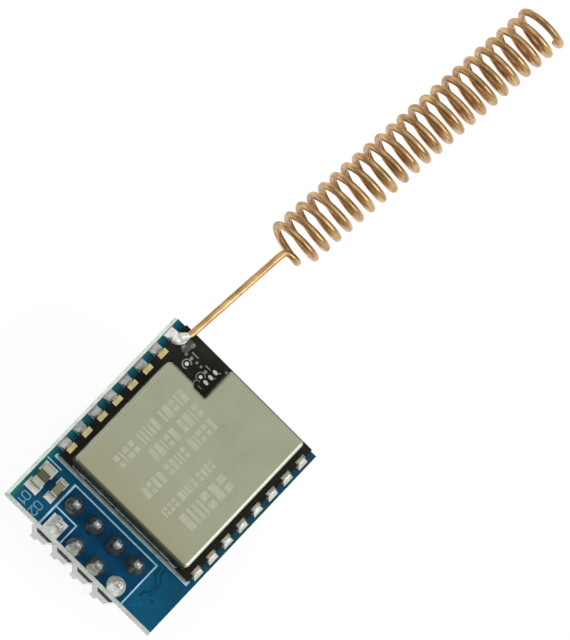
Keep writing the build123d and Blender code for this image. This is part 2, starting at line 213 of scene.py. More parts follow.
def round_outline(corners, radii, steps):
    """Closed flat outline with each corner turned on an arc of its own radius.

    The arc starts at the corner less the radius times the tangent of half the turn along the run
    that arrives, and its points are the centre plus the radius at angles shared evenly over the turn.
    """
    corners = np.asarray(corners, float)
    arriving = one_long(corners - np.roll(corners, 1, axis=0))
    leaving = np.roll(arriving, -1, axis=0)
    crossed = arriving[:, 0] * leaving[:, 1] - arriving[:, 1] * leaving[:, 0]
    turn = np.arctan2(crossed, np.sum(arriving * leaving, axis=1))
    side = np.sign(turn)[:, None] * radii[:, None]
    start = corners - arriving * (radii * np.tan(np.abs(turn) / 2))[:, None]
    centre = start + side * np.stack([-arriving[:, 1], arriving[:, 0]], axis=1)
    first = np.arctan2(start[:, 1] - centre[:, 1], start[:, 0] - centre[:, 0])
    angles = first[:, None] + turn[:, None] * np.linspace(0, 1, steps)
    return (centre[:, None] + round_places(angles) * radii[:, None, None]).reshape(-1, 2)


def prism(outline, low, high):
    """Upright solid on a flat outline between two heights: two rings, the side faces and two lids."""
    rings = [np.column_stack([outline, np.full(len(outline), height)]) for height in (low, high)]
    return ring_shell(np.stack(rings))


def patch(left, near, right, far, low, high):
    """Flat rectangle, its four sides in millimetres."""
    corners = np.array([(left, near), (right, near), (right, far), (left, far)])
    return prism(corners * MM, low, high)


def stroke(line, width, low, high):
    """Printed stroke along a flat line: its outline is the line moved half the width to each side."""
    sideways = miters(line, False) * width / 2
    return prism(np.vstack([line + sideways, (line - sideways)[::-1]]), low, high)


def disc(centre, radius, low, high, squeeze=1.0, sides=24):
    """Round or oval plate: its outline is the centre plus the radius at even angles, squeezed along Y."""
    return prism(centre + round_places(even_angles(sides)) * (1, squeeze) * radius, low, high)


def marks(low, thickness, lines=(), discs=()):
    """Flat marks of one thickness, given in millimetres.

    A line is its points and its width. A disc is its place, its radius and, where it is oval, how
    far it is squeezed.
    """
    high = low + thickness
    shells = [stroke(np.array(line) * MM, width * MM, low, high) for line, width in lines]
    for x, y, radius, *squeeze in discs:
        shells.append(disc(np.array((x, y)) * MM, radius * MM, low, high, *squeeze))
    return shells


def carried_profile(outline, profile):
    """Skin of a pressed or moulded shape: a profile of inset and height, carried round an outline.

    A point is the outline's point less the inset times its miter, at the profile's height.
    """
    inward = -miters(outline, True)
    flat = outline[None] + profile[:, 0][:, None, None] * inward[None]
    heights = np.broadcast_to(profile[:, 1][:, None, None], flat.shape[:2] + (1,))
    return ring_shell(np.concatenate([flat, heights], axis=-1))


def turned(profile, centre, sides=40, wander=0.0, phase=0.0):
    """Skin of revolution on a profile of radius and height, a little out of round.

    Radius at an angle = the profile's radius times one plus wander times the sum of the cosines of
    two and three times the angle, shifted by the phase.
    """
    angles = even_angles(sides)
    lumps = 1 + wander * (np.cos(2 * angles + phase) + np.cos(3 * angles - 2 * phase)) / 2
    radius = profile[:, 0][:, None] * lumps[None]
    x, y = centre[0] + radius * np.cos(angles), centre[1] + radius * np.sin(angles)
    points = np.stack([x, y, np.broadcast_to(profile[:, 1][:, None], radius.shape)], axis=-1)
    return points.reshape(-1, 3), quads(len(profile), sides, True).tolist()


def pillow(x, y, z, base):
    """Closed mound: a grid of points on top, the same grid laid flat at the base, joined at its rim."""
    top = np.stack([x, y, z], axis=-1)
    rows, columns = x.shape
    flat = top.copy()
    flat[..., 2] = base
    upper = quads(rows, columns, False)
    lower = upper[:, ::-1] + rows * columns
    numbers = np.arange(rows * columns).reshape(rows, columns)
    rim = np.concatenate([numbers[0], numbers[1:, -1], numbers[-1, -2::-1], numbers[-2:0:-1, 0]])
    after = np.roll(rim, -1)
    skirt = np.stack([rim, rim + rows * columns, after + rows * columns, after], axis=-1)
    points = np.vstack([top.reshape(-1, 3), flat.reshape(-1, 3)])
    return points, np.vstack([upper, lower, skirt]).tolist()


def film(thickness, out, across):
    """Height of a film that falls to its rims: thickness times one less each place's sixth power."""
    return thickness * (1 - out**6) * (1 - across**6)


def soft_box(low, high, radius=0.07 * MM, steps=4):
    """Box with rounded edges and corners.

    Each face is a grid on the box. A point is the grid point held within the box less the radius on
    every side, plus the radius along what was cut off, made one long.
    """
    low, high = np.asarray(low, float), np.asarray(high, float)
    centre, half = (low + high) / 2, (high - low) / 2
    inner = half - radius
    edge = radius * np.tan(np.linspace(0, np.pi / 4, steps + 1))
    shells = []
    for axis in range(3):
        others = [k for k in range(3) if k != axis]
        ticks = [np.concatenate([-inner[k] - edge[::-1], inner[k] + edge]) for k in others]
        first, second = np.meshgrid(*ticks, indexing="ij")
        for side in (-1, 1):
            grid = np.empty(first.shape + (3,))
            grid[..., axis] = side * half[axis]
            grid[..., others[0]] = first
            grid[..., others[1]] = second
            core = np.clip(grid, -inner, inner)
            points = centre + core + radius * one_long(grid - core)
            shells.append((points.reshape(-1, 3), quads(*first.shape, False).tolist()))
    return join(shells)


# Shader nodes and the groups that several materials share


def empty_tree(owner):
    """Node tree of a material or world, with nothing in it yet."""
    owner.use_nodes = True
    owner.node_tree.nodes.clear()
    return owner.node_tree


def shader_node(tree, kind, inputs=None, **values):
    """New shader node with its own values; each input takes a plain value or the output that feeds it."""
    made = tree.nodes.new("ShaderNode" + kind)
    for name, value in values.items():
        setattr(made, name, value)
    for socket, value in (inputs or {}).items():
        if isinstance(value, bpy.types.NodeSocket):
            tree.links.new(value, made.inputs[socket])
        else:
            made.inputs[socket].default_value = value
    return made


def math_node(tree, operation, *inputs, clamp=False):
    """Output of a Math node on its inputs in order."""
    made = shader_node(tree, "Math", dict(enumerate(inputs)), operation=operation, use_clamp=clamp)
    return made.outputs[0]


def vector_math(tree, operation, *inputs):
    """Outputs of a Vector Math node on its inputs in order."""
    return shader_node(tree, "VectorMath", dict(enumerate(inputs)), operation=operation).outputs


def eased(tree, value, start, end, highest=1.0):
    """Output that grows smoothly from 0 to the highest while the value goes from start to end."""
    inputs = {"Value": value, "From Min": start, "From Max": end, "To Max": highest}
    return shader_node(tree, "MapRange", inputs, interpolation_type="SMOOTHSTEP").outputs["Result"]


def colour_mix(tree, share, first, second):
    """First colour where the share is 0, second colour where it is 1."""
    inputs = {"Factor": share, "A": first, "B": second}
    return shader_node(tree, "Mix", inputs, data_type="RGBA").outputs["Result"]


def make_group(name, inputs, outputs):
    """Empty shader group, with the sockets that bring its inputs and those that take its outputs."""
    group = bpy.data.node_groups.new(name, "ShaderNodeTree")
    for direction, sockets in (("INPUT", inputs), ("OUTPUT", outputs)):
        for socket, kind in sockets.items():
            group.interface.new_socket(name=socket, in_out=direction, socket_type="NodeSocket" + kind)
    return group, group.nodes.new("NodeGroupInput").outputs, group.nodes.new("NodeGroupOutput").inputs


def mottle_group():
    """Two colours blended by soft noise: blend = noise stretched about its middle by the contrast."""
    inputs = {"Vector": "Vector", "Colour": "Color", "Stain": "Color"}
    inputs |= {"Scale": "Float", "Contrast": "Float"}
    group, given, leaving = make_group("Mottle", inputs, {"Colour": "Color"})
    look = {"Vector": given["Vector"], "Scale": given["Scale"], "Detail": 5, "Roughness": 0.6}
    noise = shader_node(group, "TexNoise", look).outputs["Fac"]
    off_middle = math_node(group, "SUBTRACT", noise, 0.5)
    blend = math_node(group, "MULTIPLY_ADD", off_middle, given["Contrast"], 0.5, clamp=True)
    group.links.new(colour_mix(group, blend, given["Colour"], given["Stain"]), leaving["Colour"])
    return group


def grain_group():
    """Fine surface grain: noise on a vector stretched by its own factors, for height and roughness.

    Roughness = the plain roughness plus the spread times the noise less a half.
    """
    inputs = {"Vector": "Vector", "Stretch": "Vector"}
    inputs |= {"Scale": "Float", "Roughness": "Float", "Spread": "Float"}
    group, given, leaving = make_group("Grain", inputs, {"Height": "Float", "Roughness": "Float"})
    stretched = vector_math(group, "MULTIPLY", given["Vector"], given["Stretch"])
    look = {"Vector": stretched[0], "Scale": given["Scale"], "Detail": 3}
    noise = shader_node(group, "TexNoise", look).outputs["Fac"]
    off_middle = math_node(group, "SUBTRACT", noise, 0.5)
    uneven = math_node(group, "MULTIPLY_ADD", off_middle, given["Spread"], given["Roughness"], clamp=True)
    group.links.new(noise, leaving["Height"])
    group.links.new(uneven, leaving["Roughness"])
    return group


def cut_edge_group():
    """Shows a board's cut edge, where the normal weighed by the sides that count is longer than 0.6."""
    inputs = {"Face": "Color", "Edge": "Color", "Sides": "Vector"}
    group, given, leaving = make_group("Cut edge", inputs, {"Colour": "Color"})
    normal = shader_node(group, "NewGeometry").outputs["True Normal"]
    weighed = vector_math(group, "MULTIPLY", normal, given["Sides"])
    size = vector_math(group, "LENGTH", weighed[0])
    level = math_node(group, "GREATER_THAN", size["Value"], 0.6)
    group.links.new(colour_mix(group, level, given["Face"], given["Edge"]), leaving["Colour"])
    return group


def placed_group(tree, name, inputs):
    """A shared group placed in a material, made first where no material has it yet."""
    makers = {"Mottle": mottle_group, "Grain": grain_group, "Cut edge": cut_edge_group}
    group = bpy.data.node_groups.get(name) or makers[name]()
    return shader_node(tree, "Group", inputs, node_tree=group).outputs


def rim_tint(tree, where, tint, colour, axis, start, end):
    """Another colour towards one side: share = the place along the axis from start to end, eased. On the
    can it paints highlights and shade.
    """
    place = shader_node(tree, "SeparateXYZ", {0: where}).outputs[axis]
    return colour_mix(tree, eased(tree, place, start * MM, end * MM), tint, opaque(colour))


def opaque(colour):
    """Colour with full cover, from display values or from the name of a property in the settings."""
    if isinstance(colour, str):
        group, name = colour.split(".")
        return (*getattr(getattr(settings(), group), name), 1)
    return (*display(*colour), 1)


def material(name):
    """Finish from the tables: mottled colour, uneven roughness and fine grain, and a cut edge."""
    made = bpy.data.materials.get(name)
    if made:
        return made
    colour, stain, metallic, roughness, spread, mottle, contrast, grain, bump = FINISHES[name]
    rest = PLAIN_REST | RESTS.get(name, {})
    made = bpy.data.materials.new(name)
    tree = empty_tree(made)
    if rest["attribute"]:
        where = shader_node(tree, "Attribute", attribute_name=rest["attribute"]).outputs["Vector"]
    else:
        where = shader_node(tree, "TexCoord").outputs["Object"]

    def mottled(first, second, scale):
        look = {"Vector": where, "Scale": scale, "Contrast": contrast}
        look |= {"Colour": opaque(first), "Stain": opaque(second)}
        return placed_group(tree, "Mottle", look)["Colour"]

    tint = mottled(colour, stain, mottle)
    for rim in rest["rims"]:
        tint = rim_tint(tree, where, tint, *rim)
    if rest["edge"]:
        finer = 4
        look = {"Face": tint, "Edge": mottled(*rest["edge"], mottle * finer), "Sides": rest["sides"]}
        tint = placed_group(tree, "Cut edge", look)["Colour"]
    look = {"Vector": where, "Stretch": rest["stretch"], "Scale": grain}
    fine = placed_group(tree, "Grain", look | {"Roughness": roughness, "Spread": spread})
    look = {"Strength": 1.0, "Distance": bump * MICROMETRE, "Height": fine["Height"]}
    bumps = shader_node(tree, "Bump", look).outputs["Normal"]
    look = {"Base Color": tint, "Roughness": fine["Roughness"], "Normal": bumps, "Metallic": metallic}
    look |= {"Specular IOR Level": rest["specular"], "Coat Weight": rest["coat"]}
    look |= {"Coat Roughness": rest["coat_roughness"]}
    shader = shader_node(tree, "BsdfPrincipled", look)
    shader_node(tree, "OutputMaterial", {"Surface": shader.outputs["BSDF"]})
    return made


def dress(finish, *nodes):
    """Give solids that are shown as they are their finish."""
    for node in nodes:
        mesh = NODES[node].data
        mesh.materials.clear()
        mesh.materials.append(material(finish))


# Finishes by column: colour, stain, metallic, roughness and its spread, the noise scale and contrast
# of the mottle, the noise scale of the grain, and the grain's bump in micrometres. A colour is three
# display values or the name of a property. The wire's noise scales are for its own places.
FINISHES = {
    "Blue_laminate": ("boards.blue", "boards.blue_stain", 0, 0.4, 0.1, 260, 2.5, 5000, 4),
    "Black_laminate": ("boards.black", "boards.black_stain", 0, 0.42, 0.15, 500, 2, 5000, 4),
    "Can_metal": ("metals.can", "metals.can_stain", 1, 0.36, 0.12, 300, 2, 4000, 4),
    "Etched_marks": ((186, 188, 163), (176, 177, 152), 1, 0.4, 0.15, 1400, 3, 9000, 4),
    "Solder": ("metals.solder", "metals.solder_stain", 1, 0.24, 0.16, 1500, 2.5, 3500, 12),
    # Bright_solder and Tail_solder are near-white and barely metallic: painted highlights in place of the
    # glare of shiny solder
    "Bright_solder": ((226, 227, 219), (184, 183, 173), 0.4, 0.3, 0.2, 1400, 3, 3500, 30),
    "Tail_solder": ((252, 252, 248), (190, 189, 180), 0.25, 0.3, 0.15, 1400, 3, 3500, 30),
    "Cone_solder": ((176, 176, 166), (104, 106, 96), 0.9, 0.26, 0.16, 2000, 3, 3500, 14),
    "Dull_tin": ((150, 152, 146), (104, 106, 100), 0.8, 0.4, 0.15, 2500, 3, 5000, 10),
    "Tinned_copper": ("metals.tin", (160, 164, 164), 1, 0.34, 0.2, 1500, 2, 5000, 10),
    "Gilding": ("metals.gold", (180, 165, 108), 1, 0.3, 0.12, 1500, 2, 6000, 5),
    "Copper_wire": ("metals.copper", "metals.copper_stain", 1, 0.3, 0.12, 0.8, 3.5, 9, 2),
    "Black_plastic": ((30, 30, 30), (22, 22, 23), 0, 0.25, 0.1, 600, 2, 9000, 2),
    "Print_ink": ("boards.print_colour", (112, 148, 166), 0, 0.6, 0.15, 1500, 2, 8000, 3),
    "Worn_print": ((98, 142, 164), (60, 108, 134), 0, 0.6, 0.15, 2200, 3, 8000, 3),
    "Faint_print": ((132, 128, 140), (98, 96, 104), 0, 0.6, 0.15, 2500, 2, 8000, 3),
    # The next finish serves the faint traces and the darker field over the header, which is painted shade
    "Dark_traces_and_painted_shade": ((5, 58, 88), (4, 50, 78), 0, 0.45, 0.15, 900, 3, 5000, 3),
    "Thin_mask": ((22, 90, 124), (10, 76, 110), 0, 0.45, 0.15, 2500, 3, 5000, 3),
    "Greyed_mask": ((36, 70, 84), (24, 58, 74), 0, 0.45, 0.15, 1200, 3, 5000, 3),
    "flux_patch": ((66, 70, 64), (44, 46, 42), 0, 0.5, 0.15, 1800, 4, 5000, 20),
    "flux_blotches": ((128, 136, 128), (84, 90, 84), 0, 0.5, 0.15, 1800, 4, 5000, 20),
    "Ceramic_1": ((72, 68, 46), (56, 52, 32), 0, 0.45, 0.15, 1800, 2, 9000, 6),
    "Ceramic_2": ((114, 110, 78), (98, 92, 62), 0, 0.45, 0.15, 1800, 2, 9000, 6),
    "Capacitor_ends": ((184, 187, 171), (162, 164, 147), 1, 0.36, 0.15, 2000, 2, 7000, 10),
    "Dark_ceramic": ((96, 88, 74), (78, 70, 58), 0, 0.5, 0.15, 900, 2, 7000, 10),
    "Pale_ceramic": ((210, 220, 216), (188, 200, 196), 0, 0.4, 0.15, 900, 2, 7000, 10),
    "Tan_ceramic": ((170, 140, 104), (150, 120, 88), 0, 0.45, 0.15, 900, 2, 7000, 10),
}
# What some finishes change of the plain rest. The can's rims are painted light, each from and to a place
# in millimetres: painted shade on the near part of its top, painted highlights on the bends at its right
# and at its left, and painted shade on its near wall.
PLAIN_REST = {
    "specular": 0.5, "coat": 0.0, "coat_roughness": 0.1, "stretch": (1, 1, 1), "attribute": None,
    "edge": None, "sides": (1, 1, 0), "rims": (),
}
MASK_REST = {"specular": 0.04}
RESTS = {
    "Blue_laminate": {
        "specular": 0.05, "edge": ("boards.blue_edge", (182, 194, 182)),
        "rims": [("boards.teal", "X", -8.0, -8.7)],
    },
    "Black_laminate": {
        "specular": 0.06, "edge": ("boards.black_edge", (160, 156, 142)), "sides": (0, 1, 0)
    },
    "Can_metal": {
        "stretch": (1, 0.12, 1),
        # Painted light on the can: shade on the near top, highlights on both bends, shade on the near
        # wall
        "rims": [
            ((161, 161, 131), "Y", 9.0, 3.2), ((204, 206, 188), "X", 6.58, 6.78),
            ((180, 182, 164), "X", -6.6, -6.75), ((118, 110, 72), "Y", 3.86, 3.64),
        ],
    },
    "Copper_wire": {"stretch": (1, 1, 0.05), "attribute": "wire_place"},
    "Black_plastic": {"specular": 1.0, "coat": 1.0, "coat_roughness": 0.08},
    "Dark_traces_and_painted_shade": MASK_REST,
    "Thin_mask": MASK_REST,
    "Greyed_mask": MASK_REST,
}


# Sizes and colours


class BoardLooks(bpy.types.PropertyGroup):
    """Colours of the two boards and of what is printed on them."""

    blue: colour_property("Blue mask", "Solder mask of the carrier board", 10, 75, 104)
    blue_stain: colour_property("Blue stain", "Deeper tone of the blue mask", 11, 60, 82)
    teal: colour_property("Teal rim", "Blue mask at the left rim, with no copper under it", 30, 98, 96)
    blue_edge: colour_property("Carrier's edge", "Cut fibreglass of the carrier board", 222, 230, 222)
    black: colour_property("Black mask", "Solder mask of the module board", 34, 35, 28)
    black_stain: colour_property("Black stain", "Second tone of the black mask", 19, 20, 16)
    black_edge: colour_property("Module's edge", "Cut fibreglass of the module board", 206, 204, 194)
    print_colour: colour_property("Print", "Printed lines on the carrier board", 176, 205, 216)
    print_height: length_property("Print height", "Thickness of the printed lines", 0.012)


class MetalLooks(bpy.types.PropertyGroup):
    """Colours of the metals."""

    can: colour_property("Can", "Rolled sheet of the shield can", 170, 173, 151)
    can_stain: colour_property("Can stain", "Duller tone of the can", 161, 162, 139)
    solder: colour_property("Solder", "Reflowed solder", 190, 190, 182)
    solder_stain: colour_property("Solder stain", "Duller tone of the solder", 132, 132, 124)
    tin: colour_property("Tinned pads", "Tinned copper", 234, 236, 232)
    gold: colour_property("Gold", "Thin gold plating", 222, 214, 158)
    copper: colour_property("Copper", "Bare wire of the antenna", 226, 186, 134)
    copper_stain: colour_property("Copper stain", "Tarnish of the wire", 164, 126, 80)


class AntennaSizes(bpy.types.PropertyGroup):
    """Shape of the antenna's wire."""

    wire: length_property("Wire", "Diameter of the wire", 0.7)
    outside: length_property("Outside", "Outer diameter of the coil", 5.2)
    first_radius: length_property("First turn", "Radius of the half turn that leaves the lead", 1.55)
    spacing: length_property("Spacing", "Distance from turn to turn", 1.4243)
    lead: length_property("Lead", "Length of the straight lead", 12.03)
    bend: length_property("Bend", "Radius of the bend from the lead into the coil", 0.6)
    turns: number_property("Turns", "Number of turns of the coil", 23.35, 1)
    lead_lean: angle_property("Lead's lean", "Lean of the lead from Y to X", 4.45)
    coil_lean: angle_property("Coil's lean", "Lean of the coil from Y to X", 4.98)
    cant: angle_property("Turns' cant", "Lean of each turn's top back to the board", 6.1)
    sides: IntProperty(name="Sides", description="Points round the wire", default=18, min=6)


class StageLooks(bpy.types.PropertyGroup):
    """Camera, floor and light."""

    lens: number_property("Lens", "Focal length in millimetres on 36 mm", 244.06, 10)
    camera: FloatVectorProperty(
        name="Camera", description="Place of the camera", default=(-0.03369, -0.07537, 0.38218),
        subtype="XYZ", size=3,
    )
    floor: colour_property("Floor", "Plain floor", 250, 250, 250)
    sky: number_property("Sky", "Strength of all the light from around", 0.53)
    plain: number_property("Plain", "Light from every side", 0.48)
    overhead: number_property("Overhead", "Light added overhead", 1.1)
    panel: number_property("Panel", "Light added on the right side", 0.9)
    left: number_property("Left", "Light added on the left side", 0.5)
    spots: number_property("Spots", "Light added by the two small bright lights", 5.0)
    key: number_property("Key", "Watts of the large soft light", 1.6)
    fill: number_property("Fill", "Watts of the soft light on the far side", 1.3)


class RadioBoardSettings(bpy.types.PropertyGroup):
    """All sizes and colours of the finished board."""

    boards: PointerProperty(type=BoardLooks)
    metals: PointerProperty(type=MetalLooks)
    antenna: PointerProperty(type=AntennaSizes)
    stage: PointerProperty(type=StageLooks)


def settings():
    return bpy.context.scene.radio_board


# Pieces


class RADIO_OT_boards(bpy.types.Operator):
    """Finish the carrier board and the module board"""

    bl_idname = "radio.boards"
    bl_label = "Boards"

    def execute(self, context):
        dress("Blue_laminate", "carrier_board")
        dress("Black_laminate", "module_board")
        return {"FINISHED"}


def print_digits(low, thickness):
    """Numbers 01 and 02 beside the capacitors, turned a quarter: a digit's up is X, its across -Y."""
    zero = [(0, 0.12), (0, 0.4), (0.14, 0.52), (0.7, 0.52), (0.84, 0.4), (0.84, 0.12), (0.7, 0)]
    zero += [(0.14, 0), (0.02, 0.1)]
    one = [(0.62, 0.06), (0.84, 0.26), (0, 0.26)]
    two = [(0.66, 0), (0.84, 0.12), (0.84, 0.4), (0.68, 0.52), (0.5, 0.52), (0.03, 0.02), (0.03, 0.54)]
    places = [(zero, -8.0, -0.85), (one, -8.0, -1.5), (zero, -6.6, -0.75), (two, -6.6, -1.42)]
    width = 0.12
    lines = [([(x + up, y - across) for up, across in digit], width) for digit, x, y in places]
    put_flat("printed_digits", marks(low, thickness, lines), "Worn_print")


def show_traces(low):
    """Faint traces, a via and bare spots that show through the blue mask, and a darker field over the
    header's rows that is painted shade.
    """
    thickness = 0.006 * MM
    under = low + 0.003 * MM
    lines = [
        ([(5.62, 2.7), (5.62, 2.0), (6.35, 1.4), (6.35, 0.5), (5.95, 0.1), (5.95, -0.4)], 0.22),
        ([(6.05, 2.9), (6.05, 2.3), (6.62, 1.7), (6.62, 0.2)], 0.14),
    ]
    shells = marks(low, thickness, lines, [(7.1, 0.05, 0.17)])
    # Darker field over the header's rows: painted shade of the solder domes
    shells.append(patch(-4.9, -2.02, 5.14, 2.6, low, under))
    put_flat("mask_traces_and_painted_shade", shells, "Dark_traces_and_painted_shade")
    put_flat("mask_strip", [patch(8.1, 4.05, 8.84, 20.05, low, under)], "Greyed_mask")
    lines = [([(6.05, -1.5), (6.25, -1.15), (6.35, -1.0)], 0.16), ([(5.8, 1.2), (5.8, 0.85)], 0.16)]
    shells = marks(low, thickness, lines, [(6.5, -0.82, 0.13)])
    put_flat("mask_spots", shells, "Thin_mask")


class RADIO_OT_print(bpy.types.Operator):
    """Print the plain lines and digits on the carrier board"""

    bl_idname = "radio.print"
    bl_label = "Printed lines"

    def execute(self, context):
        low = top_of("carrier_board")
        thickness = settings().boards.print_height
        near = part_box("first_pin_pad")[0].y / MM
        lines = [
            ([(-5.03, near + 0.02), (-5.03, 2.74)], 0.2),
            ([(-4.92, 2.67), (5.22, 2.67), (5.22, near + 0.02)], 0.14),
            ([(-4.92, 0.1), (-2.45, 0.1), (-2.45, near + 0.02)], 0.13),
            ([(-8.6, 2.75), (-6.86, 2.75)], 0.1),
            ([(-8.08, 3.62), (-8.08, 3.32), (8.28, 3.32), (8.28, 3.75)], 0.22),
        ]
        put_flat("printed_lines", marks(low, thickness, lines), "Print_ink")
        print_digits(low, thickness)
        show_traces(low)
        return {"FINISHED"}


JOINTS = 8
PAD_WIDTH = 0.95 * MM
SLOT_RADIUS = 0.295 * MM
SOLDER_FILM = 0.04 * MM


def solder_row(side):
    """Row of solder fillets on one side, each with the plug that fills its slot.

    Height over the pad = the rise times the cosine of a quarter turn's share of the way out, to
    the power 1.5. Across the joint it falls off as one less a third of the place's fourth power.
    Half the width grows from a little less than the land's to the pad's with the way out.
    """
    left = side == "left"
    name = f"solder_joints_{side}"
    low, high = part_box(name)
    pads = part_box("carrier_pads")
    corner, outward, seed = (0, -1, 11) if left else (1, 1, 12)
    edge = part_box("module_board")[corner].x
    bare_rim, under_top = 0.03 * MM, 0.01 * MM
    reach = abs(pads[corner].x - edge) - bare_rim
    base = pads[1].z
    rise = top_of("castellation_plating") - base - under_top
    spacing = (high.y - low.y - PAD_WIDTH) / (JOINTS - 1)
    middles = low.y + PAD_WIDTH / 2 + spacing * np.arange(JOINTS)
    draws = np.random.default_rng(seed).normal(size=(JOINTS, 3))
    out, across = mound_places(17, 17)
    angles = np.linspace(0, np.pi / 2, 5)
    sunk, crown, least_inside = 0.02 * MM, 0.01 * MM, 0.002 * MM
    dome = base + rise - sunk + crown * np.sin(angles)
    plug = np.column_stack([SLOT_RADIUS * np.cos(angles), dome])
    plug = np.vstack([[0, base], [SLOT_RADIUS, base], plug])
    half_inside, growth = 0.45, 0.1
    # How far the draws change each joint
    width_spread, reach_spread, place_spread = 0.04, 0.06, 0.02 * MM
    shells, plugs = [], []
    for place, (reached, widened, moved) in zip(middles, draws):
        half = (half_inside + growth * np.sqrt(out)) * MM * (1 + width_spread * widened)
        share = np.clip(out * (1 + reach_spread * reached), 0, 1)
        height = rise * np.cos(share * np.pi / 2) ** 1.5 * (1 - np.abs(across) ** 4 / 3)
        height += film(SOLDER_FILM, out, across)
        middle = place + place_spread * moved
        x = edge + outward * out * reach
        shells.append(pillow(x, middle + across * half, base + height, base))
        points, faces = turned(plug, (edge, middle), 20)
        inside = np.maximum(outward * (edge - points[:, 0]), least_inside)
        points[:, 0] = edge - outward * inside
        plugs.append((points, faces))
    # The tail fillet and the right fillets and slots take near-white solder, a painted highlight; the
    # left ones take plain solder and gold
    if left:
        tail = put_piece("tail_fillet", shells.pop(), "Tail_solder")
    else:
        land = put_piece("land_tinning", join(land_tinning(edge, middles, base + rise)), "Solder")
    piece = put_piece(f"solder_fillets_{side}", join(shells), "Solder" if left else "Bright_solder")
    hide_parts(name)
    filling = put_piece(f"slot_filling_{side}", join(plugs), "Gilding" if left else "Bright_solder")


def land_tinning(edge, middles, level):
    """Thin solder that has run over the right lands, a film that falls to its rim."""
    inward, across = mound_places(9, 13)
    thickness, start, reach, half, lift = 0.05 * MM, 0.02 * MM, 0.34, 0.47, 0.01 * MM
    x = edge + start - inward * reach * MM
    z = level + lift + film(thickness, 2 * inward - 1, across)
    return [pillow(x, middle + across * half * MM, z, level) for middle in middles]


class RADIO_OT_castellations(bpy.types.Operator):
    """Finish the pads and the gilded slots, and shape the solder between them"""

    bl_idname = "radio.castellations"
    bl_label = "Castellations"

    def execute(self, context):
        dress("Tinned_copper", "carrier_pads")
        dress("Gilding", "castellation_plating")
        for side in ("left", "right"):
            solder_row(side)
        return {"FINISHED"}


def pin_cone(number, draw, edge):
    """Solder round one pin, a steep cone that ends on the pin's sides.

    Radius at a share t of the height = the neck plus the spread times one less t, to a power
    near one. Past the neck it turns in, inside the pin. The first pin's solder is lower and
    more out of round, on its square land.
    """
    low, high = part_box(f"header_pin_{number}")
    centre = ((low.x + high.x) / 2, (low.y + high.y) / 2)
    base = top_of("carrier_board")
    foot_low, foot_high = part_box(f"header_solder_{number}")
    wider, neck, core = 1.02, 0.36 * MM, 0.2 * MM
    lowest, height_range, least_fall, fall_range = 1.3, 0.16, 0.9, 0.3
    foot = (foot_high.x - foot_low.x) / 2 * wider
    height = (lowest + height_range * draw[0]) * MM
    inner = base + height * 0.98
    share = np.linspace(0, 1, 24)
    fall, wander = (2.0, 0.3) if number == "1" else (least_fall + fall_range * draw[1], 0.05)
    radius = neck + (foot - neck) * (1 - share) ** fall
    skin = np.column_stack([radius, base + height * share])
    profile = np.vstack([[0, base], skin, [core, inner], [0, inner]])
    points, faces = turned(profile, centre, wander=wander, phase=6.28 * draw[2])
    clear = 0.01 * MM
    points[:, 1] = np.maximum(points[:, 1], edge + clear)
    # Pins 1 and 4 take near-white solder, a painted highlight where those joints shine; the rest take the
    # darker cone solder
    finish = "Bright_solder" if number in ("1", "4") else "Cone_solder"
    piece = put_piece(f"pin_solder_{number}", (points, faces), finish)
    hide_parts(f"header_solder_{number}")


class RADIO_OT_header(bpy.types.Operator):
    """Finish the header's pins and housing, and shape the solder round each pin"""

    bl_idname = "radio.header"
    bl_label = "Pin header"

    def execute(self, context):
        dress("Black_plastic", "header_housing")
        dress("Tinned_copper", "first_pin_pad")
        pins = sorted(name for name in NODES if name.startswith("header_pin_"))
        if not pins:
            raise RuntimeError("the packed model has no header pins")
        dress("Tinned_copper", *pins)
        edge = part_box("first_pin_pad")[0].y
        draws = np.random.default_rng(5).uniform(size=(len(pins), 3))
        for pin, draw in zip(pins, draws):
            pin_cone(pin.rsplit("_", 1)[1], draw, edge)
        return {"FINISHED"}


def capacitor_fillets(number, low, high):
    """Solder at both ends: height falls from the end's face to the pad's rim with the power 1.6."""
    name = f"capacitor_{number}_solder"
    foot_low, foot_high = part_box(name)
    fill, widening, sag = 0.7, 0.1, 0.4
    rise = (foot_high.z - foot_low.z) * fill
    out, across = mound_places(11, 13)
    x = (low.x + high.x) / 2 + across * ((high.x - low.x) / 2 * (1.0 + widening * out))
    height = rise * (1 - out) ** 1.6 * (1 - sag * across**4) + film(SOLDER_FILM, out, across)
    shells = []
    for face, foot in ((low.y, foot_low.y), (high.y, foot_high.y)):
        y = face + (foot - face) * out
        shells.append(pillow(x, y, foot_low.z + height, foot_low.z))
    piece = put_piece(f"capacitor_{number}_fillets", join(shells), "Bright_solder")
    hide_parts(name)


class RADIO_OT_capacitors(bpy.types.Operator):
    """Finish the two capacitors on the carrier with rounded ends and soldered pads"""

    bl_idname = "radio.capacitors"
    bl_label = "Capacitors"
    end_lengths = {"1": 0.7 * MM, "2": 0.27 * MM}

    def execute(self, context):
        for number, length in self.end_lengths.items():
            dress(f"Ceramic_{number}", f"capacitor_{number}_body")
            dress("Tinned_copper", f"capacitor_{number}_pads")
            low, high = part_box(f"capacitor_{number}_ends")
            near = soft_box(low, (high.x, low.y + length, high.z))
            far = soft_box((low.x, high.y - length, low.z), high)
            piece = put_piece(f"capacitor_{number}_caps", join([near, far]), "Capacitor_ends")
            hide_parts(f"capacitor_{number}_ends")
            capacitor_fillets(number, low, high)
        return {"FINISHED"}


